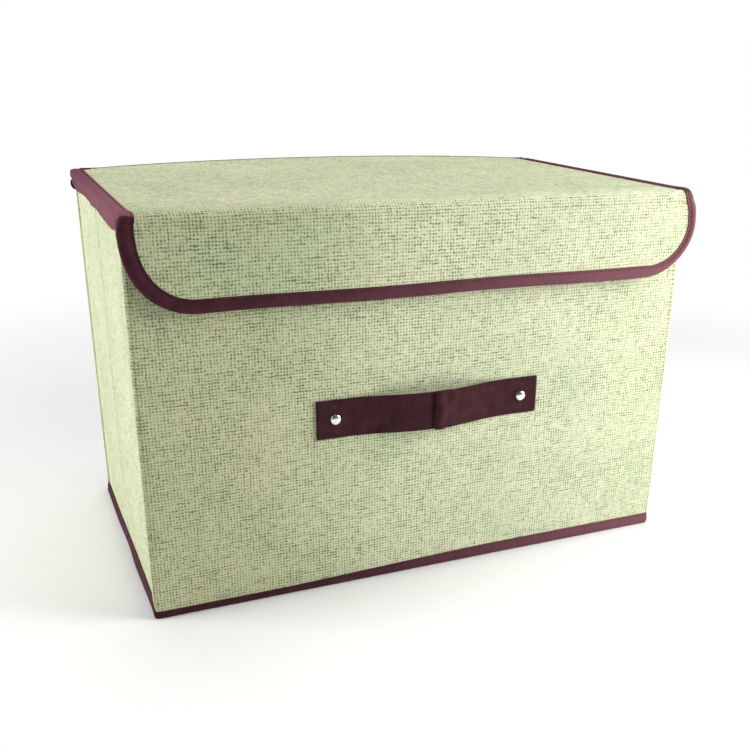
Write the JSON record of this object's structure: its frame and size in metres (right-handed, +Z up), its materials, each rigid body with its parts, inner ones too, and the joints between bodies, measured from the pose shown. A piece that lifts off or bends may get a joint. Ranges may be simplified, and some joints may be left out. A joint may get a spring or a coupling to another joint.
{
  "type": "foldable storage box",
  "caption": "Foldable fabric-covered storage box with bellows sides, a hinged lid with a front flap, bound edges and a riveted strap handle.",
  "frame": {"origin": "centre of the body's footprint, on the surface that the box stands on", "axes": "+X to the right along the front, +Y from the front to the hinged back, +Z up"},
  "size_m": [0.386, 0.2321, 0.2557],
  "materials": {
    "cover_cloth": "matt linen-look non-woven cloth",
    "lining_cloth": "matt plain non-woven cloth",
    "binding_tape": "matt folded bias tape, stitched",
    "strap_cloth": "matt doubled cloth, stitched",
    "greyboard": "uncoated paper board",
    "rivet_metal": "polished nickel plate"
  },
  "bodies": {
    "back_wall": {"back_board": "greyboard", "back_cover": "cover_cloth", "back_lining": "lining_cloth", "back_base_binding": "binding_tape", "back_rim_binding": "binding_tape", "lid_hinge_tape": "binding_tape"},
    "left_rear_panel": {"left_rear_board": "greyboard", "left_rear_cover": "cover_cloth", "left_rear_lining": "lining_cloth", "left_rear_base_binding": "binding_tape", "left_rear_rim_binding": "binding_tape", "gusset_left_rear": "lining_cloth"},
    "left_front_panel": {"left_front_board": "greyboard", "left_front_cover": "cover_cloth", "left_front_lining": "lining_cloth", "left_front_base_binding": "binding_tape", "left_front_rim_binding": "binding_tape", "gusset_left_front": "lining_cloth"},
    "front_wall": {"front_board": "greyboard", "front_cover": "cover_cloth", "front_lining": "lining_cloth", "front_base_binding": "binding_tape", "front_rim_binding": "binding_tape", "strap_tab_left": "strap_cloth", "strap_tab_right": "strap_cloth", "strap_left": "strap_cloth", "strap_right": "strap_cloth", "rivets": "rivet_metal", "rivet_washers": "rivet_metal"},
    "right_front_panel": {"right_front_board": "greyboard", "right_front_cover": "cover_cloth", "right_front_lining": "lining_cloth", "right_front_base_binding": "binding_tape", "right_front_rim_binding": "binding_tape", "gusset_right_front": "lining_cloth"},
    "right_rear_panel": {"right_rear_board": "greyboard", "right_rear_cover": "cover_cloth", "right_rear_lining": "lining_cloth", "right_rear_base_binding": "binding_tape", "right_rear_rim_binding": "binding_tape", "gusset_right_rear": "lining_cloth"},
    "base_rear_leaf": {"base_rear_cloth": "lining_cloth", "base_rear_board": "greyboard", "base_rear_lining": "lining_cloth"},
    "base_front_leaf": {"base_front_cloth": "lining_cloth", "base_front_board": "greyboard", "base_front_lining": "lining_cloth"},
    "lid": {"lid_board": "greyboard", "lid_cover": "cover_cloth", "lid_lining": "lining_cloth", "lid_left_binding": "binding_tape", "lid_right_binding": "binding_tape", "lid_rear_binding": "binding_tape", "flap_fold_cloth": "cover_cloth"},
    "flap": {"flap_board": "greyboard", "flap_cover": "cover_cloth", "flap_lining": "lining_cloth", "flap_binding": "binding_tape"},
    "strap_handle": {"strap_grip": "strap_cloth", "strap_pleat": "strap_cloth"}
  },
  "joints": [
    {"name": "bellows_fold", "type": "hinge", "parent": "back_wall", "child": "left_rear_panel", "pos_m": [-0.1854, 0.1051, 0.125], "axis": [0, 0, 1], "range_deg": [0, 82], "deforming": ["gusset_left_rear", "gusset_left_front", "gusset_right_front", "gusset_right_rear"]},
    {"name": "left_crease", "type": "hinge", "parent": "left_rear_panel", "child": "left_front_panel", "pos_m": [-0.19015, 0, 0.125], "axis": [0, 0, 1], "range_deg": [-164, 0]},
    {"name": "left_front_corner", "type": "hinge", "parent": "left_front_panel", "child": "front_wall", "pos_m": [-0.1854, -0.1051, 0.125], "axis": [0, 0, 1], "range_deg": [0, 82]},
    {"name": "right_rear_corner", "type": "hinge", "parent": "back_wall", "child": "right_rear_panel", "pos_m": [0.1854, 0.1051, 0.125], "axis": [0, 0, 1], "range_deg": [-82, 0]},
    {"name": "right_crease", "type": "hinge", "parent": "right_rear_panel", "child": "right_front_panel", "pos_m": [0.19015, 0, 0.125], "axis": [0, 0, 1], "range_deg": [0, 164]},
    {"name": "rear_leaf_lift", "type": "hinge", "parent": "back_wall", "child": "base_rear_leaf", "pos_m": [0, 0.1051, 0.0022], "axis": [-1, 0, 0], "range_deg": [0, 82]},
    {"name": "front_leaf_lift", "type": "hinge", "parent": "front_wall", "child": "base_front_leaf", "pos_m": [0, -0.1051, 0.0022], "axis": [1, 0, 0], "range_deg": [0, 82]},
    {"name": "lid_hinge", "type": "hinge", "parent": "back_wall", "child": "lid", "pos_m": [0, 0.1106, 0.2557], "axis": [-1, 0, 0], "range_deg": [0, 240]},
    {"name": "flap_hinge", "type": "hinge", "parent": "lid", "child": "flap", "pos_m": [0, -0.11473, 0.25303], "axis": [-1, 0, 0], "range_deg": [0, 225], "deforming": ["flap_fold_cloth"]},
    {"name": "handle_pull", "type": "slide", "parent": "front_wall", "child": "strap_handle", "axis": [0, -1, 0], "range_m": [0, 0.02], "deforming": ["strap_left", "strap_right"]}
  ],
  "couplings": [
    {"joint": "left_crease", "follows": "bellows_fold", "ratio": -2},
    {"joint": "left_front_corner", "follows": "bellows_fold", "ratio": 1},
    {"joint": "right_rear_corner", "follows": "bellows_fold", "ratio": -1},
    {"joint": "right_crease", "follows": "bellows_fold", "ratio": 2},
    {"joint": "rear_leaf_lift", "follows": "bellows_fold", "ratio": 1},
    {"joint": "front_leaf_lift", "follows": "bellows_fold", "ratio": 1}
  ]
}
